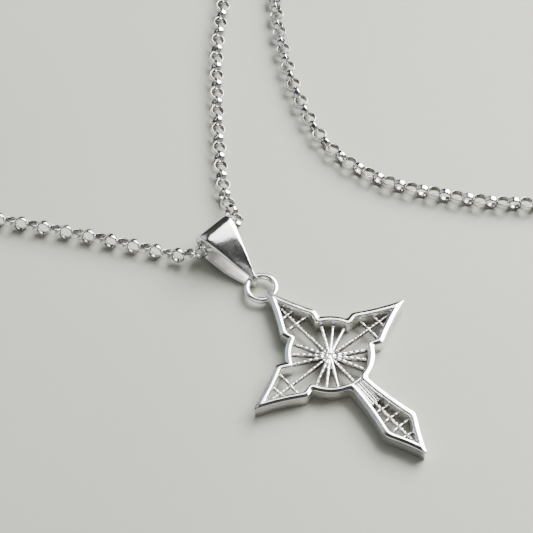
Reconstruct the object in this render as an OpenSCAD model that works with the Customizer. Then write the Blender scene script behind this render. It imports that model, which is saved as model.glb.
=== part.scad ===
// Cross pendant on a rolo chain, laid flat. Units are millimetres.
// The pendant's own frame has its centre in the middle of the round frame,
// +Y towards the ring, and the flat back at height 0.

/* [Cross frame] */
// Outer radius of the round middle of the frame
middle_r = 4.8; // [4.5:0.1:5.2]
// Reach of the top and side arms from the centre
arm_reach = 10.7; // [10:0.1:11.5]
// Distance of an arm's shoulders from the centre
shoulder_at = 5.3; // [5.2:0.1:5.6]
// Half the width of an arm at its shoulders
shoulder_half = 2.4; // [2.3:0.05:2.6]
// How far an arm's side bows in towards the arm's middle line
arm_bow = 0.16; // [0:0.02:0.3]
// Reach of the long lower arm from the centre
foot_reach = 15.9; // [15:0.1:18]
// Distance of the lower arm's widest place from the centre
foot_wide_at = 11.5; // [11:0.1:12.5]
// Half the width of the lower arm at its widest place
foot_half = 2.15; // [2:0.05:2.5]
// Half the width of the lower arm's neck
neck_half = 1.1; // [1:0.05:1.3]
// Height of the frame's wall
wall_h = 1.9; // [1.7:0.05:2.1]
// Thickness of the frame's wall, seen from above
wall_t = 0.64; // [0.56:0.02:0.7]

/* [Openwork] */
// Width of the long strands and the cross bars
strand_w = 0.3; // [0.24:0.02:0.36]
// Width of the rays in the round middle
ray_w = 0.34; // [0.28:0.02:0.4]
// Angle between the three rays of one group
ray_step = 18.5; // [16:0.5:20]
// Height of the strands where they meet the wall
strand_top = 1.22; // [1.1:0.02:1.3]
// Height of the knot in the middle, where all strands meet
knot_top = 1.56; // [1.4:0.02:1.6]

/* [Ring and bail] */
// Outer diameter of the ring on the top arm
ring_od = 3.95; // [3.7:0.05:4.2]
// Diameter of the ring's wire
ring_wire = 0.74; // [0.6:0.02:0.8]
// Thickness of the bail's sheet
sheet_t = 0.33; // [0.3:0.01:0.36]
// Width of the bail at its fold
bail_w = 4.3; // [4:0.05:4.5]
// Distance from the ring's wire to the middle of the fold
bail_len = 6.05; // [5.8:0.05:6.3]
// Outer radius of the fold
fold_r = 1.7; // [1.6:0.01:1.8]

/* [Chain] */
// Diameter of the chain, across its links
chain_d = 1.6; // [1.54:0.01:1.66]
// Outer diameter of the clasp's ring
clasp_od = 5; // [4.8:0.1:5.4]
// Diameter of the clasp's wire
clasp_wire = 0.76; // [0.7:0.02:0.8]

/* [Hidden] */
$fn = 64;

// Where the pendant's centre and the point that the chain is measured from lie,
// both from the middle of the laid necklace
pendant_at = [6.7, -44.3];
chain_from = [6.7, -44];
// Turn of the pendant on the surface, and of the bail on the ring
pendant_turn = 39.7;
bail_turn = -1.2;
// Slope of the bail, which the chain holds up a little, and turn of its fold across the leaves
bail_tilt = 13;
fold_turn = 5.5;

// The frame
notch_angle = 26.5;
// The cast arms aren't quite even: turn, and what is added to each half of the shoulders' width
arm_turns = [0, 90, 180];
arm_extra = [[0.16, 0], [0, 0.02], [0.28, 0.1]];
neck_angle = asin(neck_half / middle_r);
foot_bow = 0.16;
foot_end_bow = 0.12;
foot_lean = 0.2;
arc_steps = 8;
side_steps = 6;
rim_step = 0.2;
rim_inset = 0.14;
// Length of the solid tips of the arms
tip_solid = 1.95;

// The openwork
strand_bottom = 0.74;
knot_r = 1;
bead_r = 0.24;
in_wall = 0.3;
arm_bars = [5.55, 7.05];
arm_bar_halves = [1.95, 1.1];
foot_bars = [7.4, 8.5, 9.9, 11.3, 12.65];
foot_bar_halves = [0.95, 1.15, 1.45, 1.75, 1.3];
group_angles = [45, 135, 225, 315];

// The ring, soldered into the top arm's tip
ring_mean = (ring_od - ring_wire) / 2;
ring_at = [0.16, arm_reach + 0.99];
ring_z = 0.88;

// The bail: its narrow end goes round the ring's far wire
end_r = 0.82;
end_half = 0.36;
bail_z = end_r + 0.02;
bail_steps = 10;

// The clasp, at the back of the loop
clasp_x = -6.3;
clasp_y = 98;
clasp_z = 0.6;
eye_mean = 0.74;
eye_wire = 0.44;
eye_sink = 0.3;

// The chain's middle line, from the clasp's eye through the bail and back to the clasp's ring.
// Each point is x, y and height.
chain_route = [
    [-10.7, 98, 0.8], [-25.5, 96.2, 0.8], [-40.5, 90.8, 0.8], [-53.4, 81.2, 0.8],
    [-62.6, 68, 0.8], [-66.6, 52.4, 0.8], [-64.4, 37.2, 0.8], [-55.6, 25.4, 0.8],
    [-43.4, 19.9, 0.8], [-34.1, 17.6, 0.8], [-26.4, 15.8, 0.81], [-19.1, 13.8, 0.85],
    [-16.6, 13.05, 1.2], [-14.1, 13.1, 1.79], [-12.1, 14.6, 1.95], [-10.45, 15.9, 1.92],
    [-10.05, 17, 1.66], [-10.4, 18.4, 1.27], [-11.15, 20.3, 0.97], [-11.7, 23, 0.83],
    [-12.15, 28.6, 0.8], [-12.4, 35.9, 0.8], [-12.4, 42.6, 0.8], [-11.7, 49, 0.8],
    [-11.1, 56, 0.8], [-10.8, 60.1, 0.8], [-10, 62.6, 0.8], [-8.35, 63.6, 0.8],
    [-6.7, 62.6, 0.8], [-5.8, 60.1, 0.8], [-5.6, 56.4, 0.8], [-5.5, 49.8, 0.8],
    [-4.8, 43, 0.8], [-3.1, 35.6, 0.8], [0.2, 28.3, 0.8], [6, 23.5, 0.8],
    [13.2, 21.2, 0.8], [20.6, 20, 0.8], [30, 20.4, 0.8], [42.6, 26.4, 0.8],
    [50.8, 38, 0.8], [53.2, 52.4, 0.8], [49.8, 67.2, 0.8], [41, 80.2, 0.8],
    [28.4, 90, 0.8], [13, 96.2, 0.8], [-3.7, 98, 0.8]
];
route_step = 7.5;
chain_sides = 8;

// Points and outlines

function polar(r, a) = [r * cos(a), r * sin(a)];
function turned(p, a) = [p.x * cos(a) - p.y * sin(a), p.x * sin(a) + p.y * cos(a)];
function turned_all(points, a) = [for (p = points) turned(p, a)];
function left_of(d) = [-d.y, d.x] / norm(d);

// Points of an arc, without its two ends
function arc_between(r, a0, a1) =
    [for (i = [1 : arc_steps - 1]) polar(r, a0 + (a1 - a0) * i / arc_steps)];

// The first points of a side from p to q that bows to the left by sag, without p
function bowed(p, q, sag, count) =
    [for (i = [1 : count])
        let (t = i / side_steps)
        p + (q - p) * t + left_of(q - p) * sag * 4 * t * (1 - t)];

// A side, mirrored in the X axis and run back the other way
function mirrored(side) = [for (i = [len(side) - 1 : -1 : 0]) [side[i].x, -side[i].y]];

// One side of a short arm, from the notch outwards. Its last stretch is straight
function arm_side(extra) =
    let (shoulder = [shoulder_at, -shoulder_half - extra])
    concat([polar(middle_r, -notch_angle), shoulder],
        bowed(shoulder, [arm_reach, 0], arm_bow, side_steps - 2));

// A short arm, from one notch to the other
function arm_points(extra) =
    concat(arm_side(extra[0]), [[arm_reach, 0]], mirrored(arm_side(extra[1])));

// One side of the kite-shaped lower arm, from the neck to a tip that is lean to this side
function foot_side(lean) =
    let (neck = polar(middle_r, -neck_angle), wide = [foot_wide_at, -foot_half],
        tip = [foot_reach, -lean])
    concat([neck], bowed(neck, wide, foot_bow, side_steps - 1), [wide],
        bowed(wide, tip, foot_end_bow, side_steps - 3));

function foot_points() =
    concat(foot_side(foot_lean), [[foot_reach, -foot_lean]], mirrored(foot_side(-foot_lean)));

function cross_outline() = concat(
    arm_points(arm_extra[0]),
    arc_between(middle_r, notch_angle, 90 - notch_angle),
    turned_all(arm_points(arm_extra[1]), 90),
    arc_between(middle_r, 90 + notch_angle, 180 - notch_angle),
    turned_all(arm_points(arm_extra[2]), 180),
    arc_between(middle_r, 180 + notch_angle, 270 - neck_angle),
    turned_all(foot_points(), 270),
    arc_between(middle_r, 270 + neck_angle, 360 - notch_angle));

// The same outline moved in by a distance all round, with mitred corners
function inset(points, distance) =
    let (count = len(points))
    [for (i = [0 : count - 1])
        let (here = points[i],
            normal_in = left_of(here - points[(i + count - 1) % count]),
            normal_out = left_of(points[(i + 1) % count] - here))
        here + (normal_in + normal_out) * distance / (1 + normal_in * normal_out)];

// Cross

module frame_wall() {
    outline = cross_outline();
    difference() {
        union() {
            linear_extrude(wall_h - rim_step) polygon(outline);
            linear_extrude(wall_h) polygon(inset(outline, rim_inset));
        }
        translate([0, 0, -1]) linear_extrude(wall_h + 2) polygon(inset(outline, wall_t));
        translate([0, 0, wall_h - rim_step]) linear_extrude(1)
            polygon(inset(outline, wall_t - rim_inset));
    }
}

// The arms' solid tips, a step lower than the rim
module tips() {
    intersection() {
        linear_extrude(wall_h - rim_step) polygon(inset(cross_outline(), wall_t / 2));
        for (angle = concat(arm_turns, [270]))
            rotate([0, 0, angle])
                translate([(angle == 270 ? foot_reach : arm_reach) - tip_solid, -2, -1])
                    cube([tip_solid + 1, 4, 4]);
    }
}

// A strand that runs out from the knot, low at the wall and high in the middle
module strand(angle, reach, width) {
    start = knot_r - 0.08;
    rotate([0, 0, angle]) rotate([90, 0, 0]) translate([0, 0, -width / 2])
        linear_extrude(width)
            polygon([[start, strand_bottom], [reach, strand_bottom], [reach, strand_top],
                [middle_r - wall_t, strand_top], [start, knot_top - 0.25]]);
}

// A bar across an arm, with a bead where it crosses the long strand
module bar(distance, half) {
    translate([distance - strand_w / 2, -half, strand_bottom])
        cube([strand_w, 2 * half, strand_top - strand_bottom]);
    translate([distance, 0, strand_top - 0.1]) sphere(bead_r, $fn = 24);
}

module knot() {
    translate([0, 0, strand_bottom]) cylinder(h = knot_top - 0.2 - strand_bottom, r = knot_r);
    translate([0, 0, knot_top - 0.2]) cylinder(h = 0.2, r1 = knot_r, r2 = knot_r * 0.6);
}

module openwork() {
    knot();
    for (angle = arm_turns) {
        strand(angle, arm_reach - 1.5, strand_w);
        for (i = [0 : len(arm_bars) - 1])
            rotate([0, 0, angle]) bar(arm_bars[i], arm_bar_halves[i]);
    }
    strand(270, foot_reach - 1.3, strand_w);
    for (i = [0 : len(foot_bars) - 1])
        rotate([0, 0, 270]) bar(foot_bars[i], foot_bar_halves[i]);
    for (group = group_angles, k = [-1 : 1])
        strand(group + k * ray_step, middle_r - wall_t + in_wall, ray_w);
}

// The low sill and the ridge where the lower arm's neck leaves the round frame
module neck_sill() {
    ridge_w = 0.34;
    translate([-neck_half + 0.1, -middle_r + 0.1, 0])
        cube([2 * neck_half - 0.2, wall_t - 0.1, wall_h - 2 * rim_step]);
    translate([-ridge_w / 2, -foot_bars[0], strand_bottom])
        cube([ridge_w, foot_bars[0] - middle_r + in_wall, wall_h - 3 * rim_step - strand_bottom]);
}

module ring() {
    translate([ring_at.x, ring_at.y, ring_z]) rotate_extrude()
        translate([ring_mean, 0]) circle(d = ring_wire, $fn = 32);
}

module cross() {
    color("silver") on_pendant() {
        frame_wall();
        tips();
        openwork();
        neck_sill();
        ring();
    }
}

// Bail

// Side view of a strap round the two ends, with rounds of the given radii
function strap(small_r, large_r) =
    let (lean = asin((large_r - small_r) / bail_len))
    concat(
        [for (i = [0 : bail_steps])
            polar(small_r, 90 + lean + (180 - 2 * lean) * i / bail_steps)],
        [for (i = [0 : bail_steps])
            [bail_len, 0] + polar(large_r, -90 - lean + (180 + 2 * lean) * i / bail_steps)]);

module bail_strap() {
    rotate([0, 0, fold_turn]) rotate([90, 0, 0]) translate([0, 0, -bail_w])
        linear_extrude(2 * bail_w)
            difference() {
                polygon(strap(end_r, fold_r));
                polygon(strap(end_r - sheet_t, fold_r - sheet_t));
            }
}

module bail() {
    // The two leaves' outlines from above: distance from the ring's wire, and half width
    front_leaf = [[-end_r - 0.1, end_half], [0.3, end_half], [2.1, 0.96], [5.5, 1.98],
        [bail_len + fold_r / 2, bail_w / 2], [bail_len + fold_r + 0.5, bail_w / 2]];
    back_leaf = [[-end_r - 0.1, end_half], [-0.3, end_half], [0.5, 0.95], [2.7, 1.72],
        [bail_len - 0.4, bail_w / 2 + 0.08], [bail_len + fold_r / 2, bail_w / 2],
        [bail_len + fold_r + 0.5, bail_w / 2]];
    color("gainsboro") on_pendant()
        translate([ring_at.x, ring_at.y + ring_mean, bail_z]) rotate([0, 0, 90 + bail_turn])
            rotate([0, -bail_tilt, 0]) {
                intersection() {
                    bail_strap();
                    linear_extrude(2 * fold_r) polygon(concat(front_leaf, mirrored(front_leaf)));
                }
                intersection() {
                    bail_strap();
                    translate([0, 0, -2 * fold_r]) linear_extrude(2 * fold_r)
                        polygon(concat(back_leaf, mirrored(back_leaf)));
                }
            }
}

// Chain

// A point on the smooth curve between b and c
function between(a, b, c, d, t) =
    (2 * b + (c - a) * t + (2 * a - 5 * b + 4 * c - d) * t * t
        + (3 * b - a - 3 * c + d) * t * t * t) / 2;

// The route's points, with one more between two that are far apart
function smoothed(p) =
    let (last = len(p) - 1)
    concat([for (i = [0 : last - 1])
        let (before = i == 0 ? 2 * p[0] - p[1] : p[i - 1],
            after = i + 1 == last ? 2 * p[last] - p[last - 1] : p[i + 2],
            pieces = norm(p[i + 1] - p[i]) > route_step ? 2 : 1)
        for (k = [0 : pieces - 1]) between(before, p[i], p[i + 1], after, k / pieces)],
        [p[last]]);

function heading(p, i) =
    let (d = p[min(i + 1, len(p) - 1)] - p[max(i - 1, 0)]) d / norm(d);

// One ring of the tube: level at the bottom, so that it rests on a flat side
function tube_ring(centre, d, radius, sides) =
    let (level = cross(d, [0, 0, 1]), across = level / norm(level), rise = cross(across, d))
    [for (k = [0 : sides - 1])
        let (a = (k + 0.5) * 360 / sides)
        centre + (across * cos(a) + rise * sin(a)) * radius / cos(180 / sides)];

module tube(points, diameter, sides) {
    count = len(points);
    corners = [for (i = [0 : count - 1])
        each tube_ring(points[i], heading(points, i), diameter / 2, sides)];
    walls = [for (i = [0 : count - 2], k = [0 : sides - 1])
        let (next = (k + 1) % sides)
        each [[i * sides + k, i * sides + next, (i + 1) * sides + k],
            [i * sides + next, (i + 1) * sides + next, (i + 1) * sides + k]]];
    first = [for (k = [sides - 1 : -1 : 0]) k];
    final = [for (k = [0 : sides - 1]) (count - 1) * sides + k];
    polyhedron(points = corners, faces = concat(walls, [first, final]));
}

module chain() {
    color("lightgray") on_chain() tube(smoothed(chain_route), chain_d, chain_sides);
}

// Clasp

module clasp() {
    clasp_mean = (clasp_od - clasp_wire) / 2;
    eye_at = clasp_od / 2 + eye_mean + eye_wire / 2 - eye_sink;
    color("silver") on_chain() translate([clasp_x, clasp_y, clasp_z]) {
        rotate_extrude() translate([clasp_mean, 0]) circle(d = clasp_wire, $fn = 24);
        translate([-eye_at, 0, 0]) rotate_extrude()
            translate([eye_mean, 0]) circle(d = eye_wire, $fn = 24);
    }
}

// Placing

module on_chain() {
    translate(chain_from) children();
}

module on_pendant() {
    translate(pendant_at) rotate([0, 0, pendant_turn]) children();
}

cross();
bail();
chain();
clasp();
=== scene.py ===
import math
import random

import bmesh
import bpy
from mathutils import Matrix, Vector, noise


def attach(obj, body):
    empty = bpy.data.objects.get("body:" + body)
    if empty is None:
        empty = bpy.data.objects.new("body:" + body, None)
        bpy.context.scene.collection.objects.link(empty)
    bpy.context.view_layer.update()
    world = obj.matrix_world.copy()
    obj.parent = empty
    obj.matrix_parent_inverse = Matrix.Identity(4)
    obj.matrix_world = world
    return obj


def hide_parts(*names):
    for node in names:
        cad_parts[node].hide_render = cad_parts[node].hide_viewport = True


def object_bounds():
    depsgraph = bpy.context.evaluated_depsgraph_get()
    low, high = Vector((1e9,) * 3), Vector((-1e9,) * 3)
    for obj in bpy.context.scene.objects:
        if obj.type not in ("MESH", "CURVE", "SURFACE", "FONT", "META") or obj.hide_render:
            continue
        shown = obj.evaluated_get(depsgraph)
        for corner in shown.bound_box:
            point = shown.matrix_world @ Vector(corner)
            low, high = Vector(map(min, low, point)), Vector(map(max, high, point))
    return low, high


# Cross pendant on a rolo chain, laid on a plain floor.
# Sizes are in millimetres until a mesh is made, which turns them into metres.
# The pendant's own frame has its centre in the middle of the round frame,
# +Y towards the ring, and the flat back at height 0.

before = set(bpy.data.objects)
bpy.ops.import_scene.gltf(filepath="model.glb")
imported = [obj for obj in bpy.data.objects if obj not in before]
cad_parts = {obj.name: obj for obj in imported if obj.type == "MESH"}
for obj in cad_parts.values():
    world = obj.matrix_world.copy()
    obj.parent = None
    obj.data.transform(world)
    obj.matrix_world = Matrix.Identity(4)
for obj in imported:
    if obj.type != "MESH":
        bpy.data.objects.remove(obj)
CAD_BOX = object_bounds()
MM = 0.001
SEED = 7
noise.seed_set(SEED)

# Where the pendant and the point that the chain is measured from lie, in the part's frame
PENDANT_AT = (6.7, -44.3, 0)
CHAIN_FROM = (6.7, -44.0, 0)
PENDANT_TURN = 39.7
ON_CHAIN = Matrix.Translation(CHAIN_FROM)
ON_PENDANT = Matrix.Translation(PENDANT_AT) @ Matrix.Rotation(math.radians(PENDANT_TURN), 4, "Z")

# Cross frame
MIDDLE_R = 4.8
ARM_REACH = 10.7
SHOULDER_AT = 5.3
SHOULDER_HALF = 2.4
ARM_BOW = 0.16
FOOT_REACH = 15.9
FOOT_WIDE_AT = 11.5
FOOT_HALF = 2.15
FOOT_BOW = 0.16
FOOT_END_BOW = 0.12
FOOT_LEAN = 0.2
NECK_HALF = 1.1
WALL_H = 1.9
WALL_T = 0.64
NOTCH_ANGLE = 26.5
# The cast arms aren't quite even: turn, and what is added to each half of the shoulders' width
ARMS = ((0, 0.16, 0.0), (90, 0.0, 0.02), (180, 0.28, 0.1))

# Openwork
STRAND_TOP = 1.22
KNOT_TOP = 1.56
STRAND_BOTTOM = 0.74
RAY_STEP = 18.5
RAY_START = 0.15
RAY_REACH = 4.0
TIP_SOLID = 1.95
# The groups of three rays: angle, the wire's radius at its inner and outer end, and how deep
# its milling is, as a share of the radius
RAY_GROUPS = (
    (45, 0.17, 0.16, 0.06),
    (135, 0.14, 0.12, 0.26),
    (225, 0.25, 0.13, 0.05),
    (315, 0.18, 0.14, 0.24),
)
# The bars across an arm: distance from the centre, and half length
ARM_BARS = ((5.55, 1.95), (7.05, 1.1))
FOOT_BARS = ((7.4, 0.95), (8.5, 1.15), (9.9, 1.45), (11.3, 1.75), (12.65, 1.3))
# The long strands: angle, how far out they reach, how far under the knot's top they start,
# the gap between their two wires or 0 for a single wire, and the arm's bars
LONG_STRANDS = (
    (90, ARM_REACH - 1.9, 0.22, 0, ARM_BARS),
    (0, ARM_REACH - 1.9, 0.1, 0, ARM_BARS),
    (180, ARM_REACH - 1.9, 0.14, 0, ARM_BARS),
    (270, FOOT_REACH - 1.8, 0.22, 0.1, FOOT_BARS),
)
DOUBLE_WIRE_R = 0.07
SINGLE_WIRE_R = 0.1
BAR_R = 0.11
# The length of one bead of the milling: in millimetres on a long strand, and as a share of
# the whole wire on a ray and a bar
STRAND_BEAD = 0.46
RAY_BEAD = 0.17
BAR_BEAD = 0.23
# How deep the milling is, as a share of the radius
STRAND_MILLING = 0.5
BAR_MILLING = 0.3
STRAND_STEPS_PER_MM = 16
# A wire's rounded end, as a share of the wire, and the share of the radius left at its tip
WIRE_END = 0.04
WIRE_TIP = 0.35
# The webs under bars and rays
WEB_T = 0.2
# The grain on each long strand: its radius, and where it may lie. A grain also marks where a
# bar crosses the strand.
STRAND_GRAIN_R = 0.15
STRAND_GRAIN_AT = (2.6, 3.1)
BAR_GRAIN_R = 0.17
# How unevenly the rays and bars were made: a ray's turn, reach, and height at the knot, and
# how far a bar's ends are shifted along the arm
RAY_TURNS = (-1.2, 1.2)
RAY_REACHES = (-0.12, 0.05)
RAY_HEIGHTS = (-0.05, 0.04)
BAR_SHIFTS = (-0.1, 0.1)
# The knot and the low boss under it: centre, radius, and height as a share of the width
KNOT = ((-0.15, -0.1, 1.13), 0.62, 0.45)
BOSS = ((0, 0, 0.78), 1.0, 0.3)

# Ring and bail
RING_OD = 3.95
RING_WIRE = 0.74
RING_AT = (0.16, ARM_REACH + 0.99)
RING_Z = 0.88
SHEET_T = 0.33
BAIL_W = 4.3
BAIL_LEN = 6.05
FOLD_R = 1.7
BAIL_END_R = 0.82
BAIL_END_HALF = 0.36
BAIL_Z = BAIL_END_R + 0.02
BAIL_TURN = -1.2
BAIL_TILT = 13
FOLD_TURN = 5.5

# The middle line of the chain from one end to the other: points on the floor plan, and height
CHAIN_ROUTE = (
    (-10.7, 98, 0.8), (-25.5, 96.2, 0.8), (-40.5, 90.8, 0.8), (-53.4, 81.2, 0.8),
    (-62.6, 68, 0.8), (-66.6, 52.4, 0.8), (-64.4, 37.2, 0.8), (-55.6, 25.4, 0.8),
    (-43.4, 19.9, 0.8), (-34.1, 17.6, 0.8), (-26.4, 15.8, 0.81), (-19.1, 13.8, 0.85),
    (-16.6, 13.05, 1.2), (-14.1, 13.1, 1.79), (-12.1, 14.6, 1.95), (-10.45, 15.9, 1.92),
    (-10.05, 17, 1.66), (-10.4, 18.4, 1.27), (-11.15, 20.3, 0.97), (-11.7, 23, 0.83),
    (-12.15, 28.6, 0.8), (-12.4, 35.9, 0.8), (-12.4, 42.6, 0.8), (-11.7, 49, 0.8),
    (-11.1, 56, 0.8), (-10.8, 60.1, 0.8), (-10, 62.6, 0.8), (-8.35, 63.6, 0.8),
    (-6.7, 62.6, 0.8), (-5.8, 60.1, 0.8), (-5.6, 56.4, 0.8), (-5.5, 49.8, 0.8),
    (-4.8, 43, 0.8), (-3.1, 35.6, 0.8), (0.2, 28.3, 0.8), (6, 23.5, 0.8),
    (13.2, 21.2, 0.8), (20.6, 20, 0.8), (30, 20.4, 0.8), (42.6, 26.4, 0.8),
    (50.8, 38, 0.8), (53.2, 52.4, 0.8), (49.8, 67.2, 0.8), (41, 80.2, 0.8),
    (28.4, 90, 0.8), (13, 96.2, 0.8), (-3.7, 98, 0.8),
)
# How the chain turns about its own line: place along the route in points, and degrees
CHAIN_ROLL = (
    (0, 16), (12.6, 16), (16.6, 84), (19, 67), (24, 65),
    (32, 60), (35, 40), (38, 40), (41, 0), (46, 0),
)
# A link leans by this angle to one side, and the next one to the other
LINK_LEAN = 51
LINK_LEAN_SPREAD = 4
LINK_PITCH = 1.302
LINK_OUTER = 0.86
LINK_WALL = 0.22
LINK_WIDTH = 0.7
LINK_STEPS = 24
LINK_SIDES = 10
FLOOR_GAP = 0.005
# The first and last link lie past the route's ends, in the clasp's two loops
FIRST_LINK_PAST = 0.2
LAST_LINK_PAST = 0.4

# Camera
VIEW_POINT = (-0.07, -31.76, 0)
VIEW_ELEVATION = 56.44
VIEW_DISTANCE = 288.84
VIEW_ANGLE = 11.70
VIEW_ROLL = -0.401


# Points and outlines

def polar(r, degrees):
    a = math.radians(degrees)
    return Vector((r * math.cos(a), r * math.sin(a)))


def turned(points, degrees):
    turn = Matrix.Rotation(math.radians(degrees), 2)
    return [turn @ p for p in points]


def left_of(d):
    return Vector((-d.y, d.x)).normalized()


def mixed(a, b, t):
    return a + (b - a) * t


def table_value(table, x):
    """The value at x in a table of (x, value), straight between its rows."""
    if x <= table[0][0]:
        return table[0][1]
    for (x0, v0), (x1, v1) in zip(table, table[1:]):
        if x <= x1:
            return mixed(v0, v1, (x - x0) / (x1 - x0))
    return table[-1][1]


def smooth_step(t):
    t = min(max(t, 0), 1)
    return t * t * (3 - 2 * t)


def evened(values, passes):
    """The numbers or points of a closed line, each drawn towards its neighbours."""
    for _ in range(passes):
        values = [
            (values[i - 1] + v * 2 + values[(i + 1) % len(values)]) / 4
            for i, v in enumerate(values)
        ]
    return values


# Meshes

class Shape:
    """The vertices and faces of one piece, in millimetres. second holds the faces, by number,
    that take the piece's other material."""

    def __init__(self):
        self.verts = []
        self.faces = []
        self.second = set()

    def grid(self, rows, round_rows=True, round_columns=False):
        """Joins rows of points with quads, and returns the number of the first point."""
        base = len(self.verts)
        width = len(rows[0])
        for row in rows:
            self.verts += row
        for i in range(len(rows) if round_columns else len(rows) - 1):
            for j in range(width if round_rows else width - 1):
                here = base + i * width
                there = base + (i + 1) % len(rows) * width
                k = (j + 1) % width
                self.faces.append((here + j, here + k, there + k, there + j))
        return base

    def tube(self, points, radius, sides=8, tall=1.0):
        """A wire along points, its height given as a share of its width. radius is a number,
        or a function of the share of the way along."""
        last = len(points) - 1
        rows = []
        for i, p in enumerate(points):
            heading = (points[min(i + 1, last)] - points[max(i - 1, 0)]).normalized()
            level = heading.cross(Vector((0, 0, 1))).normalized()
            rise = level.cross(heading)
            r = radius(i / last) if callable(radius) else radius
            rows.append([
                p + level * (r * math.cos(a)) + rise * (r * tall * math.sin(a))
                for a in (math.tau * k / sides for k in range(sides))
            ])
        base = self.grid(rows)
        self.faces.append(tuple(base + k for k in reversed(range(sides))))
        self.faces.append(tuple(base + last * sides + k for k in range(sides)))

    def ball(self, centre, radius, height=1.0, rings=6, sides=10):
        """A round grain, its height given as a share of its width."""
        rows = []
        for i in range(1, rings):
            tilt = math.pi * i / rings
            rows.append([
                centre + Vector((
                    radius * math.sin(tilt) * math.cos(math.tau * k / sides),
                    radius * math.sin(tilt) * math.sin(math.tau * k / sides),
                    radius * height * math.cos(tilt),
                ))
                for k in range(sides)
            ])
        base = self.grid(rows)
        end = base + len(rows) * sides
        pole = Vector((0, 0, radius * height))
        self.verts += [centre + pole, centre - pole]
        for k in range(sides):
            n = (k + 1) % sides
            self.faces.append((end, base + n, base + k))
            self.faces.append((end + 1, end - sides + k, end - sides + n))

    def piece(self, name, material, place, slot, replaces=None, second=None):
        """Makes the Blender object, on body root. second is the other material, if any."""
        mesh = bpy.data.meshes.new(name)
        mesh.from_pydata([place @ v * MM for v in self.verts], [], self.faces)
        work = bmesh.new()
        work.from_mesh(mesh)
        bmesh.ops.recalc_face_normals(work, faces=work.faces)
        for i, face in enumerate(work.faces):
            face.smooth = True
            face.material_index = 1 if i in self.second else 0
        work.to_mesh(mesh)
        work.free()
        mesh.materials.append(material)
        if second:
            mesh.materials.append(second)
        made = bpy.data.objects.new(name, mesh)
        bpy.context.collection.objects.link(made)
        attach(made, "root")
        if replaces:
            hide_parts(replaces)
        return made


# Materials

class Nodes:
    """Builds a material's node tree in short calls."""

    def __init__(self, name):
        self.material = bpy.data.materials.new(name)
        self.material.use_nodes = True
        self.tree = self.material.node_tree
        self.shader = self.tree.nodes["Principled BSDF"]

    def make(self, kind, inputs=None, **settings):
        node = self.tree.nodes.new(kind)
        for key, value in settings.items():
            setattr(node, key, value)
        for key, value in (inputs or {}).items():
            if isinstance(value, bpy.types.NodeSocket):
                self.tree.links.new(value, node.inputs[key])
            else:
                node.inputs[key].default_value = value
        return node

    def place(self, scale=(1, 1, 1), turn=0):
        """Positions on the object, turned and then stretched."""
        where = self.make("ShaderNodeTexCoord").outputs["Object"]
        return self.make("ShaderNodeMapping", {
            "Vector": where, "Scale": scale, "Rotation": (0, 0, math.radians(turn)),
        }, vector_type="TEXTURE").outputs["Vector"]

    def height(self):
        """Height over the floor, in metres."""
        where = self.make("ShaderNodeTexCoord").outputs["Object"]
        return self.make("ShaderNodeSeparateXYZ", {0: where}).outputs["Z"]

    def reckon(self, operation, a, b):
        return self.make("ShaderNodeMath", {0: a, 1: b}, operation=operation).outputs[0]

    def noise(self, per_mm, detail, place=None, rough=0.5):
        where = place or self.place()
        return self.make("ShaderNodeTexNoise", {
            "Vector": where, "Scale": per_mm / MM, "Detail": detail, "Roughness": rough,
        }).outputs["Fac"]

    def ranged(self, value, low, high, to_low, to_high):
        return self.make("ShaderNodeMapRange", {
            "Value": value, "From Min": low, "From Max": high, "To Min": to_low, "To Max": to_high,
        }).outputs["Result"]

    def mix(self, share, a, b):
        node = self.make("ShaderNodeMix", data_type="RGBA")
        for key, value in ((0, share), (6, a), (7, b)):
            if isinstance(value, bpy.types.NodeSocket):
                self.tree.links.new(value, node.inputs[key])
            else:
                node.inputs[key].default_value = value
        return node.outputs[2]

    def bump(self, height, depth_mm, strength=1.0, below=None):
        inputs = {"Height": height, "Strength": strength, "Distance": depth_mm * MM}
        if below:
            inputs["Normal"] = below
        return self.make("ShaderNodeBump", inputs).outputs["Normal"]

    def wire(self, socket, value):
        self.tree.links.new(value, self.shader.inputs[socket])


# How many waves a millimetre the finest wear, the cast grain, the mottle in the lower walls'
# painted light and shade, and the hairlines have
FINE_PER_MM = 6.0
GRAIN_PER_MM = 1.6
MOTTLE_PER_MM = 2.5
LINES_PER_MM = 9.0
# How many times longer a hairline is than it is wide
LINE_STRETCH = 25


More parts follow.
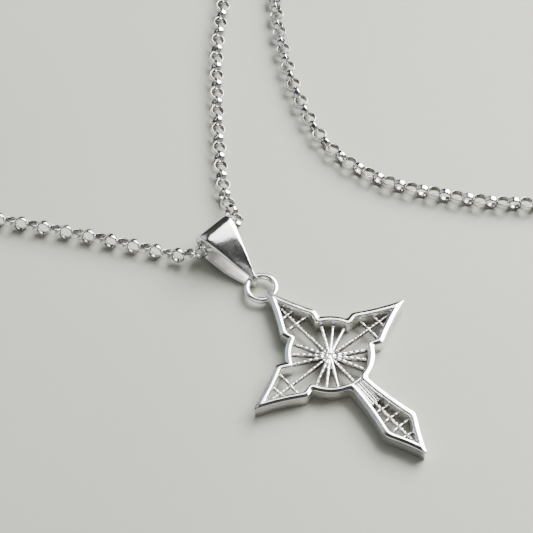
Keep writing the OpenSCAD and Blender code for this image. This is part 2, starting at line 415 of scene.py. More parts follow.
def silver(name, light, dark, rough, grain_mm, hairlines=0.0, along=0, skin_and_shade=None, patch_per_mm=0.8):
    """Silver: clean metal, a little tarnish in patches, worn gloss, and fine relief.

    hairlines is the roughness that fine lines add, and along is how many degrees those lines
    are turned from +Y.
    skin_and_shade is for parts that are polished only on top: roughness of the rest, its colour,
    which is painted light and shade set by height, and the heights between which it turns into
    the polished top.
    """
    n = Nodes(name)
    patches = n.noise(patch_per_mm, 6)
    fine = n.noise(FINE_PER_MM, 4)
    colour = n.mix(n.ranged(patches, 0.42, 0.68, 0, 1), light, dark)
    lines_place = n.place(scale=(1, LINE_STRETCH, 1), turn=along)
    lines = n.noise(LINES_PER_MM, 3, lines_place, 0.6)
    worn = n.ranged(fine, 0.3, 0.7, rough * 0.75, rough * 1.3)
    streaks = n.ranged(lines, 0.35, 0.65, 0, hairlines)
    total = n.reckon("ADD", worn, streaks)
    if skin_and_shade:
        # Below the polished top the colour is painted light and shade, mottled
        skin_rough, skin_shade_colour, low, high = skin_and_shade
        share = n.ranged(n.height(), low * MM, high * MM, 1, 0)
        mottle = n.ranged(n.noise(MOTTLE_PER_MM, 5), 0.4, 0.62, 0, 1)
        colour = n.mix(share, colour, n.mix(mottle, skin_shade_colour, light))
        total = n.reckon("ADD", total, n.reckon("MULTIPLY", share, skin_rough - rough))
    n.wire("Base Color", colour)
    n.wire("Roughness", total)
    relief = n.bump(n.noise(GRAIN_PER_MM, 3), grain_mm)
    relief = n.bump(fine, grain_mm * 0.2, below=relief)
    line_depth = 0.0008 + hairlines * 0.03
    n.wire("Normal", n.bump(lines, line_depth, 0.7, below=relief))
    n.shader.inputs["Metallic"].default_value = 1.0
    n.shader.inputs["IOR"].default_value = 1.5
    return n.material


SILVER_LIGHT = (0.94, 0.94, 0.93, 1)
SILVER_DARK = (0.80, 0.79, 0.77, 1)
WIRE_LIGHT = (0.96, 0.96, 0.95, 1)
CHAIN_DARK = (0.66, 0.65, 0.62, 1)
# Painted shade: dark colours for the links' cut sides and insides, standing for the dark reflections
# there
CUT_SHADE_LIGHT = (0.42, 0.41, 0.39, 1)
CUT_SHADE_DARK = (0.10, 0.10, 0.09, 1)
# Painted shade: near-black colours for the webs under the wires and ridges, standing for the shade under
# them
WEB_SHADE_LIGHT = (0.40, 0.38, 0.34, 1)
WEB_SHADE_DARK = (0.02, 0.02, 0.02, 1)
# The colour in each is painted light and shade for the lower walls, set by height: near white on the
# cast frame, greyer on the bail
CAST_SKIN_AND_SHADE = (0.34, (0.93, 0.93, 0.90, 1), 1.45, 1.68)
SHEET_SKIN_AND_SHADE = (0.30, (0.84, 0.83, 0.79, 1), 1.0, 1.5)

CAST = silver("cast_silver", SILVER_LIGHT, SILVER_DARK, 0.13, 0.008, skin_and_shade=CAST_SKIN_AND_SHADE)
POLISHED = silver("polished_silver", SILVER_LIGHT, SILVER_DARK, 0.13, 0.006)
WIRES = silver("wire_silver", WIRE_LIGHT, SILVER_DARK, 0.26, 0.012)
# The webs' silver, coloured with painted shade
WEB_SHADE_SILVER = silver("web_painted_shade_silver", WEB_SHADE_LIGHT, WEB_SHADE_DARK, 0.34, 0.03, patch_per_mm=2.6)
SHEET = silver(
    "sheet_silver", SILVER_LIGHT, SILVER_DARK, 0.085, 0.009,
    hairlines=0.07, along=PENDANT_TURN + BAIL_TURN, skin_and_shade=SHEET_SKIN_AND_SHADE,
)
# Rougher silver for the links' cut sides, coloured with painted shade
CUT_AND_SHADE = silver("cut_silver_painted_shade", CUT_SHADE_LIGHT, CUT_SHADE_DARK, 0.24, 0.006)
CHAIN = silver("chain_silver", SILVER_LIGHT, CHAIN_DARK, 0.11, 0.004)


# Cross frame

ARC_STEPS = 22
SIDE_STEPS = 30
SHORT_STEPS = 7


def arc_side(a0, a1):
    return [polar(MIDDLE_R, mixed(a0, a1, i / ARC_STEPS)) for i in range(ARC_STEPS + 1)]


def bowed_side(p, q, sag, steps):
    bow = left_of(q - p) * sag * 4
    return [mixed(p, q, t) + bow * t * (1 - t) for t in (i / steps for i in range(steps + 1))]


def mirrored(side):
    return [Vector((p.x, -p.y)) for p in reversed(side)]


def arm_side(extra):
    """One side of a short arm that points along +X, from the notch outwards."""
    shoulder = Vector((SHOULDER_AT, -SHOULDER_HALF - extra))
    short = bowed_side(polar(MIDDLE_R, -NOTCH_ANGLE), shoulder, 0, SHORT_STEPS)
    return [short, bowed_side(shoulder, Vector((ARM_REACH, 0)), ARM_BOW, SIDE_STEPS)]


def foot_side(neck_angle, lean):
    """One side of the kite-shaped arm, from the neck to a tip that leans to this side."""
    wide = Vector((FOOT_WIDE_AT, -FOOT_HALF))
    neck = bowed_side(polar(MIDDLE_R, -neck_angle), wide, FOOT_BOW, SIDE_STEPS)
    return [neck, bowed_side(wide, Vector((FOOT_REACH, -lean)), FOOT_END_BOW, SIDE_STEPS // 2)]


def whole_arm(first, second):
    """The four sides of an arm, from one notch round the tip to the other."""
    return first + [mirrored(side) for side in reversed(second)]


def cross_sides():
    """The outline as sides between its corners, counter-clockwise."""
    neck_angle = math.degrees(math.asin(NECK_HALF / MIDDLE_R))
    sides = []
    for turn, first, second in ARMS:
        sides += [turned(s, turn) for s in whole_arm(arm_side(first), arm_side(second))]
        after = 270 - neck_angle if turn == 180 else turn + 90 - NOTCH_ANGLE
        sides.append(arc_side(turn + NOTCH_ANGLE, after))
    foot = whole_arm(foot_side(neck_angle, FOOT_LEAN), foot_side(neck_angle, -FOOT_LEAN))
    sides += [turned(s, 270) for s in foot]
    sides.append(arc_side(270 + neck_angle, 360 - NOTCH_ANGLE))
    return sides


def moved_in(side, distance, run_on):
    """A side moved in, its ends run on straight so that neighbours can meet."""
    last = len(side) - 1
    moved = []
    for i, p in enumerate(side):
        d = side[min(i + 1, last)] - side[max(i - 1, 0)]
        moved.append(p + left_of(d) * distance)
    head = (moved[0] - moved[1]).normalized() * run_on
    tail = (moved[-1] - moved[-2]).normalized() * run_on
    return [moved[0] + head] + moved + [moved[-1] + tail]


def meeting(a, b):
    """Where the end of line a crosses the start of line b: index and point on each."""
    for i in range(len(a) - 2, -1, -1):
        for j in range(len(b) - 1):
            d, e = a[i + 1] - a[i], b[j + 1] - b[j]
            across = d.x * e.y - d.y * e.x
            if abs(across) < 1e-12:
                continue
            gap = b[j] - a[i]
            t = (gap.x * e.y - gap.y * e.x) / across
            u = (gap.x * d.y - gap.y * d.x) / across
            if 0 <= t <= 1 and 0 <= u <= 1:
                return i, j, a[i] + d * t
    raise ValueError("two sides of the outline don't meet")


def resampled(points, steps):
    """The same line in even steps, without its last point."""
    run = [0]
    for a, b in zip(points, points[1:]):
        run.append(run[-1] + (b - a).length)
    made, i = [], 0
    for k in range(steps):
        want = run[-1] * k / steps
        while run[i + 1] < want:
            i += 1
        share = (want - run[i]) / max(run[i + 1] - run[i], 1e-9)
        made.append(mixed(points[i], points[i + 1], share))
    return made


def inset_outline(sides, distance):
    """The whole outline moved in, with the same number of points at every distance.

    A negative distance moves it out, and then the sides run on further before they meet.
    """
    run_on = max(distance * 1.5, -distance * 3) + 0.02
    moved = [moved_in(s, distance, run_on) for s in sides]
    meets = [meeting(a, b) for a, b in zip(moved, moved[1:] + moved[:1])]
    made = []
    for k, side in enumerate(moved):
        _, start, first = meets[k - 1]
        end, _, final = meets[k]
        made += resampled([first] + side[start + 1:end + 1] + [final], len(sides[k]) - 1)
    return made


# The wall's section from the outer foot over the rim to the inner foot: inset, and depth
# under the rim's top
RIM_SECTION = (
    # Outer wall
    (0.06, WALL_H), (0.0, WALL_H - 0.06), (0.0, 1.0), (-0.02, 0.6),
    # Small lip
    (-0.05, 0.34), (-0.07, 0.23), (-0.065, 0.17), (-0.045, 0.135), (0.0, 0.112),
    # Slope up to the rim's top, and a gentle fall after it
    (0.08, 0.085), (0.16, 0.055), (0.22, 0.028), (0.26, 0.008), (0.3, 0.0), (0.36, 0.003), (0.42, 0.009),
    # Round inner edge, and inner wall
    (0.47, 0.018), (0.53, 0.04), (0.575, 0.08), (0.61, 0.15), (0.63, 0.24), (WALL_T, 0.4),
    (WALL_T, 1.1), (WALL_T - 0.02, WALL_H),
)
# The slow waviness of a hand-finished casting: waves per millimetre, size, and the height
# from which the metal also rises and falls
WAVES_PER_MM = 0.9
WAVE_SIZE = 0.02
WAVY_FROM = 0.6


def cross_frame():
    shape = Shape()
    sides = cross_sides()
    rows = []
    for inset, depth in RIM_SECTION:
        height = WALL_H - depth
        row = []
        for p in evened(inset_outline(sides, inset), 3):
            point = Vector((p.x, p.y, height))
            wave = noise.noise_vector(point * WAVES_PER_MM) * WAVE_SIZE
            wave.z *= 0.5 if height > WAVY_FROM else 0
            row.append(point + wave)
        rows.append(row)
    shape.grid(rows, round_columns=True)
    return shape


# Openwork

def beaded(start, end, bead, depth):
    """The radius of a milled wire that narrows from start to end, with rounded ends.

    bead is the length of one bead as a share of the wire, and depth is a share of the radius.
    """
    def radius(t):
        from_end = min(min(t, 1 - t) / WIRE_END, 1)
        taper = mixed(start, end, t) * mixed(WIRE_TIP, 1, math.sqrt(from_end))
        return taper * (1 + depth * math.sin(math.tau * t / bead))
    return radius


def line(a, b, steps, rise=0.0):
    """Points from a to b, raised in the middle."""
    return [
        mixed(a, b, t) + Vector((0, 0, rise * 4 * t * (1 - t)))
        for t in (i / steps for i in range(steps + 1))
    ]


def double_wire(shape, points, gap, radius):
    """Two wires side by side along points."""
    along = (points[-1] - points[0]).to_2d()
    side = (left_of(along) * (gap / 2)).to_3d()
    for offset in (-side, side):
        shape.tube([p + offset for p in points], radius, 7)


def web(shape, a, b, width):
    """An upright plate under a strand, the middle of its top edge from a to b."""
    side = left_of((b - a).to_2d()) * (width / 2)
    rows = []
    for p in (a, b):
        corners = ((-side, STRAND_BOTTOM), (-side, p.z), (side, p.z), (side, STRAND_BOTTOM))
        rows.append([Vector((p.x + offset.x, p.y + offset.y, height)) for offset, height in corners])
    base = shape.grid(rows)
    shape.faces.append((base, base + 1, base + 2, base + 3))
    shape.faces.append((base + 7, base + 6, base + 5, base + 4))


def at(angle, r, height, across=0.0):
    """A point on a line that leaves the centre at an angle."""
    p = polar(r, angle)
    q = polar(across, angle + 90)
    return Vector((p.x + q.x, p.y + q.y, height))


def rays(wires, webs, rng):
    """The groups of three rays: thick tapered wires with a round end short of the wall. A web
    under each carries it, and runs on into the wall."""
    low = STRAND_TOP - 0.15
    in_wall = MIDDLE_R - WALL_T + 0.1
    for group, inner, outer, milling in RAY_GROUPS:
        for k in (-1, 0, 1):
            angle = group + k * RAY_STEP + rng.uniform(*RAY_TURNS)
            reach = RAY_REACH + rng.uniform(*RAY_REACHES)
            high = KNOT_TOP - 0.22 + rng.uniform(*RAY_HEIGHTS)
            a, b = at(angle, RAY_START, high), at(angle, reach, STRAND_TOP - 0.12)
            wires.tube(line(a, b, 60, 0.03), beaded(inner, outer, RAY_BEAD, milling), 8)
            wires.ball(at(angle, reach - 0.12, STRAND_TOP - 0.12), outer * 1.3, 0.9)
            web(webs, at(angle, 0.4, high - 0.04), at(angle, reach, low), inner + outer - 0.03)
            web(webs, at(angle, reach - 0.1, low), at(angle, in_wall, low - 0.05), WEB_T)


def long_strand(wires, webs, angle, reach, under, gap, rng):
    """The long strand of an arm, from the knot over the round frame's edge to the arm's tip."""
    a = at(angle, 0.3, KNOT_TOP - under)
    b = at(angle, MIDDLE_R - 0.6, STRAND_TOP - 0.14)
    c = at(angle, reach, STRAND_TOP - 0.16)
    wire_r = DOUBLE_WIRE_R if gap else SINGLE_WIRE_R
    down = Vector((0, 0, 0.01))
    for p, q in ((a, b), (b, c)):
        length = (q - p).length
        points = line(p, q, round(length * STRAND_STEPS_PER_MM))
        radius = beaded(wire_r, wire_r * 0.9, STRAND_BEAD / length, STRAND_MILLING)
        if gap:
            double_wire(wires, points, gap, radius)
        else:
            wires.tube(points, radius, 8)
        web(webs, p - down, q - down, gap + wire_r * 2.5)
    wires.ball(at(angle, rng.uniform(*STRAND_GRAIN_AT), STRAND_TOP + 0.02), STRAND_GRAIN_R, 0.9)


def bar(wires, webs, angle, distance, half, rng):
    """A wire across an arm, with a grain where it crosses the long strand."""
    height = STRAND_TOP - 0.12
    shift = rng.uniform(*BAR_SHIFTS)
    a = at(angle, distance - shift, height - 0.06, -half)
    b = at(angle, distance + shift, height - 0.06, half)
    wires.tube(line(a, b, 40, 0.1), beaded(BAR_R, BAR_R, BAR_BEAD, BAR_MILLING), 8)
    low = Vector((0, 0, 0.04))
    web(webs, a - low, b - low, WEB_T)
    wires.ball(at(angle, distance, STRAND_TOP - 0.08), BAR_GRAIN_R, 0.8)


def openwork():
    """The bright wires, and the webs under them, which are coloured near black as painted shade."""
    wires, webs = Shape(), Shape()
    rng = random.Random(SEED)
    rays(wires, webs, rng)
    for angle, reach, under, gap, bars in LONG_STRANDS:
        long_strand(wires, webs, angle, reach, under, gap, rng)
        for distance, half in bars:
            bar(wires, webs, angle, distance, half, rng)
    return wires, webs


def knot():
    """The polished knot that all strands run into, a little off the middle, on a wide low boss."""
    shape = Shape()
    for (centre, radius, height), rings, sides in ((KNOT, 10, 28), (BOSS, 8, 32)):
        shape.ball(Vector(centre), radius, height, rings, sides)
    return shape


# Lines across a solid tip: distance back from the arm's end, height at the edge, and height
# at the crease
TIP_LINES = ((0.5, 1.8, 1.76), (1.2, 1.79, 1.68), (TIP_SOLID, 1.72, 1.58))
# How far back from the arm's end the two walls' inner sides meet, and how far a facet reaches
# into the wall
TIP_INSIDE = 0.8
TIP_IN_WALL = 0.05


def tips():
    """The solid tips of the arms: two facets that fall to a crease on the arm's middle line."""
    shape = Shape()
    arms = [(turn, ARM_REACH, SHOULDER_HALF / (ARM_REACH - SHOULDER_AT)) for turn, _, _ in ARMS]
    arms.append((270, FOOT_REACH, FOOT_HALF / (FOOT_REACH - FOOT_WIDE_AT)))
    for turn, reach, flare in arms:
        rows = []
        for back, edge, crease in TIP_LINES:
            half = max(back - TIP_INSIDE, TIP_IN_WALL) * flare + TIP_IN_WALL
            side = [(-half, edge), (-half * 0.5, mixed(edge, crease, 0.6)), (0, crease)]
            side += [(-y, z) for y, z in reversed(side[:2])]
            rows.append([at(turn, reach - back, z, y) for y, z in side])
        rows.append([Vector((p.x, p.y, STRAND_BOTTOM)) for p in rows[-1]])
        shape.grid(rows, round_rows=False)
    return shape


# Where the neck's ridges lie across it
NECK_RIDGES = (-0.36, -0.08, 0.2, 0.46)
RIDGE_R = 0.08
SILL_R = 0.22
# Ridges and sill are a little taller than wide
NECK_TALL = 1.2


def neck():
    """The low sill and the ridges where the lower arm leaves the round frame, and the web under
    the ridges, coloured near black as painted shade."""
    bright, dark = Shape(), Shape()
    sill_at, sill_top = -MIDDLE_R + 0.36, WALL_H - 0.34
    sill = [Vector((x, sill_at, sill_top)) for x in (-NECK_HALF, -0.5, 0, 0.5, NECK_HALF)]
    bright.tube(sill, SILL_R, 10, NECK_TALL)
    near, far = -MIDDLE_R + 0.2, -FOOT_BARS[0][0]
    low = STRAND_TOP - 0.06
    for x in NECK_RIDGES:
        a = Vector((x, near, WALL_H - 0.36))
        b = Vector((x * 1.1, far, STRAND_TOP - 0.02))
        bright.tube(line(a, b, 24, 0.02), RIDGE_R, 8, NECK_TALL)
    web(dark, Vector((0.05, near, low)), Vector((0.05, far, low)), 1.0)
    return bright, dark


# Ring

RING_STEPS = 72
RING_SIDES = 20


def ring():
    shape = Shape()
    mean = (RING_OD - RING_WIRE) / 2
    up = Vector((0, 0, 1))
    rows = []
    for i in range(RING_STEPS):
        a = math.tau * i / RING_STEPS
        out = Vector((math.cos(a), math.sin(a), 0))
        centre = Vector((*RING_AT, RING_Z)) + out * mean
        rows.append([
            centre + (out * math.cos(b) + up * math.sin(b)) * (RING_WIRE / 2)
            for b in (math.tau * k / RING_SIDES for k in range(RING_SIDES))
        ])
    shape.grid(rows, round_columns=True)
    return shape


# Bail

BAIL_HALF = BAIL_W / 2
# Outlines of the two leaves: distance from the ring's wire, and half width
FRONT_LEAF = (
    (-0.92, BAIL_END_HALF), (0.3, BAIL_END_HALF), (2.1, 0.96),
    (5.5, 1.98), (6.9, BAIL_HALF), (8.3, BAIL_HALF),
)
BACK_LEAF = (
    (-0.92, BAIL_END_HALF), (-0.3, BAIL_END_HALF), (0.5, 0.95), (2.7, 1.72),
    (5.65, 2.23), (6.9, BAIL_HALF), (8.3, BAIL_HALF),
)
# How far the front leaf's sheet is raised, by the distance from where the fold starts. The
# bow is squeezed towards the fold on the left side, by the share in BOW_SQUEEZE.
FOLD_FROM = 6.35
FRONT_BOW = (
    (0.0, 0.0), (0.6, 0.055), (1.2, 0.11), (1.8, 0.16), (2.3, 0.195), (2.7, 0.21),
    (3.2, 0.205), (4.2, 0.165), (5.4, 0.09), (6.6, 0.0),
)
BOW_SQUEEZE = 0.55
# How far the front leaf is lowered towards its edges
EDGE_FALL = 0.13
# Steps along the end's arc, a leaf and the fold, then over half a leaf's width, and round its edge
END_STEPS = 20
LEAF_STEPS = 36
FOLD_STEPS = 32
HALF_STEPS = 7
EDGE_STEPS = 5
# The bow is worked out for so many lines on each side of the middle one
BOW_COLUMNS = 14


def bail_line():
    """The strap's middle line from the side, with its outward direction: x, z, direction."""
    lean = math.degrees(math.asin((FOLD_R - BAIL_END_R) / BAIL_LEN))
    small, large = BAIL_END_R - SHEET_T / 2, FOLD_R - SHEET_T / 2
    fold_at = Vector((BAIL_LEN, 0))
    made = []
    for i in range(END_STEPS):
        a = 90 + lean + (180 - 2 * lean) * i / END_STEPS
        made.append((polar(small, a), polar(1, a)))
    low_a, low_b = polar(small, 270 - lean), fold_at + polar(large, -90 - lean)
    for i in range(LEAF_STEPS):
        made.append((mixed(low_a, low_b, i / LEAF_STEPS), polar(1, 270 - lean)))
    for i in range(FOLD_STEPS):
        a = -90 - lean + (180 + 2 * lean) * i / FOLD_STEPS
        made.append((fold_at + polar(large, a), polar(1, a)))
    top_a, top_b = fold_at + polar(large, 90 + lean), polar(small, 90 + lean)
    for i in range(LEAF_STEPS):
        made.append((mixed(top_a, top_b, i / LEAF_STEPS), polar(1, 90 + lean)))
    return made


def bow_rise(stations, across):
    """How far each station of the strap is raised; across runs from -1 to 1 over its width."""
    squeeze = 1 + BOW_SQUEEZE * (1 + across)
    return evened([
        table_value(FRONT_BOW, (FOLD_FROM - p.x) * squeeze) / squeeze if p.y > 0 else 0
        for p, _ in stations
    ], 6)


def strap_section(half, fall):
    """Round the strap at one station: place across it, and height over its middle sheet."""
    edge = SHEET_T / 2
    edge_run = edge * 0.6
    flat = half - edge_run
    made = []
    for side in (1, -1):
        for k in range(2 * HALF_STEPS + 1):
            y = mixed(-flat, flat, k / (2 * HALF_STEPS)) * side
            drop = fall * (0.12 * (y / half) ** 2 + 0.88 * (y / half) ** 8)
            made.append((y, edge * side - drop))
        for k in range(1, EDGE_STEPS):
            a = (0.5 - k / EDGE_STEPS) * math.pi
            made.append((side * (flat + edge_run * math.cos(a)), side * edge * math.sin(a) - fall))
    return made


def bail():
    """The folded strap, and where it stands in the part."""
    shape = Shape()
    stations = bail_line()
    leaves = [FRONT_LEAF if out.y > 0 else BACK_LEAF for _, out in stations]
    halves = evened([table_value(leaf, p.x) for leaf, (p, _) in zip(leaves, stations)], 4)
    rows = []
    skew = math.radians(FOLD_TURN)
    columns = range(-BOW_COLUMNS, BOW_COLUMNS + 1)
    rises = {column: bow_rise(stations, column / BOW_COLUMNS) for column in columns}
    for i, ((p, out), half) in enumerate(zip(stations, halves)):
        fall = EDGE_FALL * smooth_step(out.y * 1.5 + 0.3) * smooth_step((half - 0.3) / 1.2)
        row = []
        for y, h in strap_section(half, fall):
            x = (p.x + out.x * h - y * math.sin(skew)) / math.cos(skew)
            row.append(Vector((x, y, p.y + out.y * h + rises[round(BOW_COLUMNS * y / half)][i])))
        rows.append(row)
    shape.grid(rows, round_columns=True)
    place = (
        ON_PENDANT
        @ Matrix.Translation((RING_AT[0], RING_AT[1] + (RING_OD - RING_WIRE) / 2, BAIL_Z))
        @ Matrix.Rotation(math.radians(90 + BAIL_TURN), 4, "Z")
        @ Matrix.Rotation(-math.radians(BAIL_TILT), 4, "Y")
    )
    return shape, place


# Chain

def smooth_route():
    """Close points on the smooth curve through the route, each with its place along the route."""
    p = [Vector(q) for q in CHAIN_ROUTE]
    p = [p[0] * 2 - p[1]] + p + [p[-1] * 2 - p[-2]]
    steps = 40
    made = []
    for i in range(1, len(p) - 2):
        a, b, c, d = p[i - 1:i + 3]
        for k in range(steps):
            t = k / steps
            second, third = a * 2 - b * 5 + c * 4 - d, b * 3 - a - c * 3 + d
            q = (b * 2 + (c - a) * t + second * t**2 + third * t**3) / 2
            made.append((q, i - 1 + t))
    made.append((p[-2], len(p) - 3))
    return made


def link_places():
    """Evenly spaced link centres: point, and place along the route."""
    route = smooth_route()
    run = [0]
    for (a, _), (b, _) in zip(route, route[1:]):
        run.append(run[-1] + (b - a).length)
    start, end = -FIRST_LINK_PAST, run[-1] + LAST_LINK_PAST
    count = round((end - start) / LINK_PITCH)
    made, i = [], 0
    for k in range(count + 1):
        want = start + (end - start) * k / count
        while i < len(run) - 2 and run[i + 1] < want:
            i += 1
        t = (want - run[i]) / (run[i + 1] - run[i])
        (point, along), (next_point, next_along) = route[i:i + 2]
        made.append((mixed(point, next_point, t), mixed(along, next_along, t)))
    return made


def squared(v):
    """Draws a circle's sine or cosine out, so that the circle becomes a rounded square."""
    return math.copysign(abs(v) ** 0.6, v)


def link_section():
    """Round a link's wire: distance from the link's axis, and place across its width."""
    mean, half_wall, half_width = LINK_OUTER - LINK_WALL / 2, LINK_WALL / 2, LINK_WIDTH / 2
    made = []
    for k in range(LINK_SIDES):
        a = math.tau * (k + 0.5) / LINK_SIDES
        made.append((mean + half_wall * squared(math.cos(a)), half_width * squared(math.sin(a))))
    return made


# The section's faces at a link's two cut sides and inside it, which aren't polished. Their dark colour
# is painted shade, for the dark reflections they show
LINK_SHADED_FACES = (1, 2, 3, 4, 5, 6, 7)


def chain_links():
    """The interlocking links, each kept over the floor and inside the solids' box."""
    shape = Shape()
    rng = random.Random(SEED)
    places = link_places()
    section = link_section()
    last = len(places) - 1
    reach = LINK_OUTER + 0.1
    box_low, box_high = (ON_CHAIN.inverted() @ (v / MM) for v in CAD_BOX)
    for i, (centre, along) in enumerate(places):
        before, after = places[max(i - 1, 0)][0], places[min(i + 1, last)][0]
        heading = (after - before).normalized()
        level = heading.cross(Vector((0, 0, 1))).normalized()
        rise = level.cross(heading)
        roll = table_value(CHAIN_ROLL, along)
        lean = -LINK_LEAN if i % 2 else LINK_LEAN
        angle = math.radians(lean + roll + rng.uniform(-LINK_LEAN_SPREAD, LINK_LEAN_SPREAD))
        # A link stays as high as it and its neighbour need to clear the floor
        other = angle - math.radians(lean * 2)
        tall = max(
            LINK_OUTER * abs(math.sin(a)) + LINK_WIDTH / 2 * abs(math.cos(a)) for a in (angle, other)
        )
        centre = Vector((
            min(max(centre.x, box_low.x + reach), box_high.x - reach),
            min(max(centre.y, box_low.y + reach), box_high.y - reach),
            max(centre.z, tall + FLOOR_GAP),
        ))
        axis = rise * math.cos(angle) + level * math.sin(angle)
        side = axis.cross(heading)
        rows = []
        for k in range(LINK_STEPS):
            a = math.tau * k / LINK_STEPS
            out = heading * math.cos(a) + side * math.sin(a)
            rows.append([centre + out * r + axis * w for r, w in section])
        first = len(shape.faces)
        shape.grid(rows, round_columns=True)
        # These faces take the cut silver with its painted shade
        for face in range(first, len(shape.faces)):
            if (face - first) % LINK_SIDES in LINK_SHADED_FACES:
                shape.second.add(face)
    return shape


# Object

cross_frame().piece("cross_frame", CAST, ON_PENDANT, "cast_silver", "cross")
wires, webs = openwork()
wires.piece("cross_openwork", WIRES, ON_PENDANT, "cast_silver")
# The webs take the silver coloured with painted shade
webs.piece("cross_webs", WEB_SHADE_SILVER, ON_PENDANT, "cast_silver")
knot().piece("cross_knot", POLISHED, ON_PENDANT, "cast_silver")
tips().piece("cross_tips", POLISHED, ON_PENDANT, "cast_silver")
neck_bright, neck_dark = neck()
neck_bright.piece("cross_neck", WIRES, ON_PENDANT, "cast_silver")
# The web under the neck's ridges takes the silver coloured with painted shade
neck_dark.piece("cross_neck_web", WEB_SHADE_SILVER, ON_PENDANT, "cast_silver")
ring().piece("cross_ring", POLISHED, ON_PENDANT, "cast_silver")
bail_shape, bail_place = bail()
bail_shape.piece("bail_strap", SHEET, bail_place, "sheet_silver", "bail")
# The links' sides and insides take the silver coloured with painted shade
chain_links().piece("chain_links", CHAIN, ON_CHAIN, "chain_silver", "chain", second=CUT_AND_SHADE)
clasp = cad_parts["clasp"]
clasp.data.materials.clear()
clasp.data.materials.append(POLISHED)


# Floor, lights and camera

FLOOR_DARK = (0.305, 0.309, 0.270, 1)
FLOOR_LIGHT = (0.325, 0.329, 0.288, 1)
FLOOR_HALF = 600
FLOOR_AT = -0.02


def floor():
    n = Nodes("floor")
    patches = n.ranged(n.noise(0.02, 3), 0.3, 0.7, 0, 1)
    n.wire("Base Color", n.mix(patches, FLOOR_DARK, FLOOR_LIGHT))
    n.wire("Roughness", n.ranged(n.noise(1.0, 4), 0.3, 0.7, 0.5, 0.6))
    n.wire("Normal", n.bump(n.noise(1.2, 4), 0.01, 0.3))
    mesh = bpy.data.meshes.new("floor")
    corners = [
        Vector((x * FLOOR_HALF, y * FLOOR_HALF, FLOOR_AT)) * MM
        for x, y in ((-1, -1), (1, -1), (1, 1), (-1, 1))
    ]
    mesh.from_pydata(corners, [], [(0, 1, 2, 3)])
    mesh.materials.append(n.material)
    made = bpy.data.objects.new("floor", mesh)
    bpy.context.collection.objects.link(made)


def direction(azimuth, elevation):
    """Azimuth 0 is +Y, away from the camera, and 90 is +X."""
    a, e = math.radians(azimuth), math.radians(elevation)
    return Vector((math.sin(a) * math.cos(e), math.cos(a) * math.cos(e), math.sin(e)))


def area_light(name, azimuth, elevation, distance, size, power, colour):
    light = bpy.data.lights.new(name, "AREA")
    light.shape = "RECTANGLE"
    light.size, light.size_y = (s * MM for s in size)
    light.energy = power
    light.color = colour
    made = bpy.data.objects.new(name, light)
    out = direction(azimuth, elevation)
    made.location = Vector(VIEW_POINT) * MM + out * distance * MM
    made.rotation_mode = "QUATERNION"
    made.rotation_quaternion = out.to_track_quat("Z", "Y")
    bpy.context.collection.objects.link(made)


# The lights in the room: azimuth, elevation, and how many degrees from there they start to
# fade and have ended
BACK_WALL = (45, 36, 18, 38)
HIGH_LIGHT = (27, 62, 16, 21)
LEFT_WINDOW = (-62, 32, 14, 35)
BEHIND_LEFT = (-150, 17, 16, 46)
BEHIND_RIGHT = (135, 18, 18, 45)
ROOM_DIM = 0.045
ROOM_WHITE = (0.98, 0.985, 0.98, 1)
ROOM_BLUE = (0.80, 0.92, 1.0, 1)


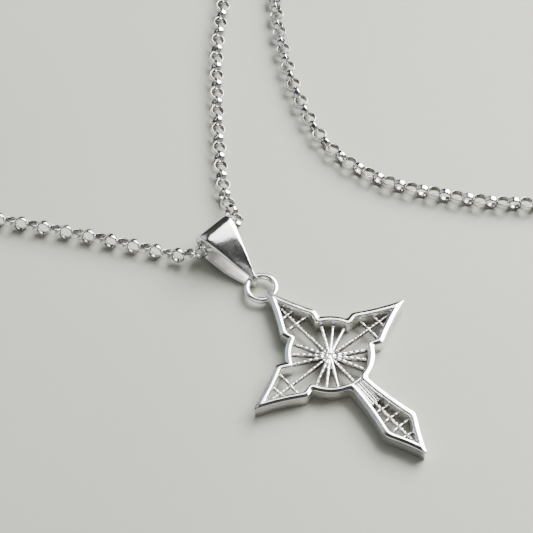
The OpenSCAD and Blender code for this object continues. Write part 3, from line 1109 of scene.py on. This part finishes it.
def studio():
    """A soft room: a bright wall and a brighter light over it at the back, a bluish window at
    the left, and weak light from low down behind the camera. The rest is dim."""
    world = bpy.data.worlds.new("studio")
    bpy.context.scene.world = world
    world.use_nodes = True
    tree = world.node_tree
    back = tree.nodes["Background"]
    where = tree.nodes.new("ShaderNodeTexCoord").outputs["Generated"]

    def lobe(azimuth, elevation, full, end, low, high):
        """Light of strength high near one direction, which fades to low between two angles."""
        dot = tree.nodes.new("ShaderNodeVectorMath")
        dot.operation = "DOT_PRODUCT"
        tree.links.new(where, dot.inputs[0])
        dot.inputs[1].default_value = direction(azimuth, elevation)
        fade = tree.nodes.new("ShaderNodeMapRange")
        fade.interpolation_type = "SMOOTHSTEP"
        tree.links.new(dot.outputs["Value"], fade.inputs["Value"])
        fade.inputs["From Min"].default_value = math.cos(math.radians(end))
        fade.inputs["From Max"].default_value = math.cos(math.radians(full))
        fade.inputs["To Min"].default_value = low
        fade.inputs["To Max"].default_value = high
        return fade.outputs["Result"]

    bluish = lobe(*LEFT_WINDOW, 0.0, 1.0)
    lights = [
        lobe(*BACK_WALL, ROOM_DIM, 1.9),
        lobe(*HIGH_LIGHT, 0.0, 4.4),
        lobe(*LEFT_WINDOW, 0.0, 0.8),
        lobe(*BEHIND_LEFT, 0.0, 0.9),
        lobe(*BEHIND_RIGHT, 0.0, 0.3),
    ]
    total = lights[0]
    for light in lights[1:]:
        add = tree.nodes.new("ShaderNodeMath")
        add.operation = "ADD"
        tree.links.new(total, add.inputs[0])
        tree.links.new(light, add.inputs[1])
        total = add.outputs[0]
    tree.links.new(total, back.inputs["Strength"])
    tint = tree.nodes.new("ShaderNodeMix")
    tint.data_type = "RGBA"
    tree.links.new(bluish, tint.inputs[0])
    tint.inputs[6].default_value = ROOM_WHITE
    tint.inputs[7].default_value = ROOM_BLUE
    tree.links.new(tint.outputs[2], back.inputs["Color"])
    area_light(
        "window", azimuth=46, elevation=41, distance=420, size=(370, 310), power=7.9,
        colour=(1.0, 0.995, 0.97),
    )


def camera():
    e, roll = math.radians(VIEW_ELEVATION), math.radians(VIEW_ROLL)
    back = Vector((0, -math.cos(e), math.sin(e)))
    level, rise = Vector((1, 0, 0)), Vector((0, math.sin(e), math.cos(e)))
    right = level * math.cos(roll) + rise * math.sin(roll)
    up = rise * math.cos(roll) - level * math.sin(roll)
    data = bpy.data.cameras.new("camera")
    data.sensor_fit = "HORIZONTAL"
    data.angle = math.radians(VIEW_ANGLE)
    data.clip_start, data.clip_end = 0.01, 10
    made = bpy.data.objects.new("camera", data)
    turn = Matrix((right, up, back)).transposed().to_4x4()
    made.matrix_world = Matrix.Translation((Vector(VIEW_POINT) + back * VIEW_DISTANCE) * MM) @ turn
    bpy.context.collection.objects.link(made)
    bpy.context.scene.camera = made


camera()
floor()
studio()
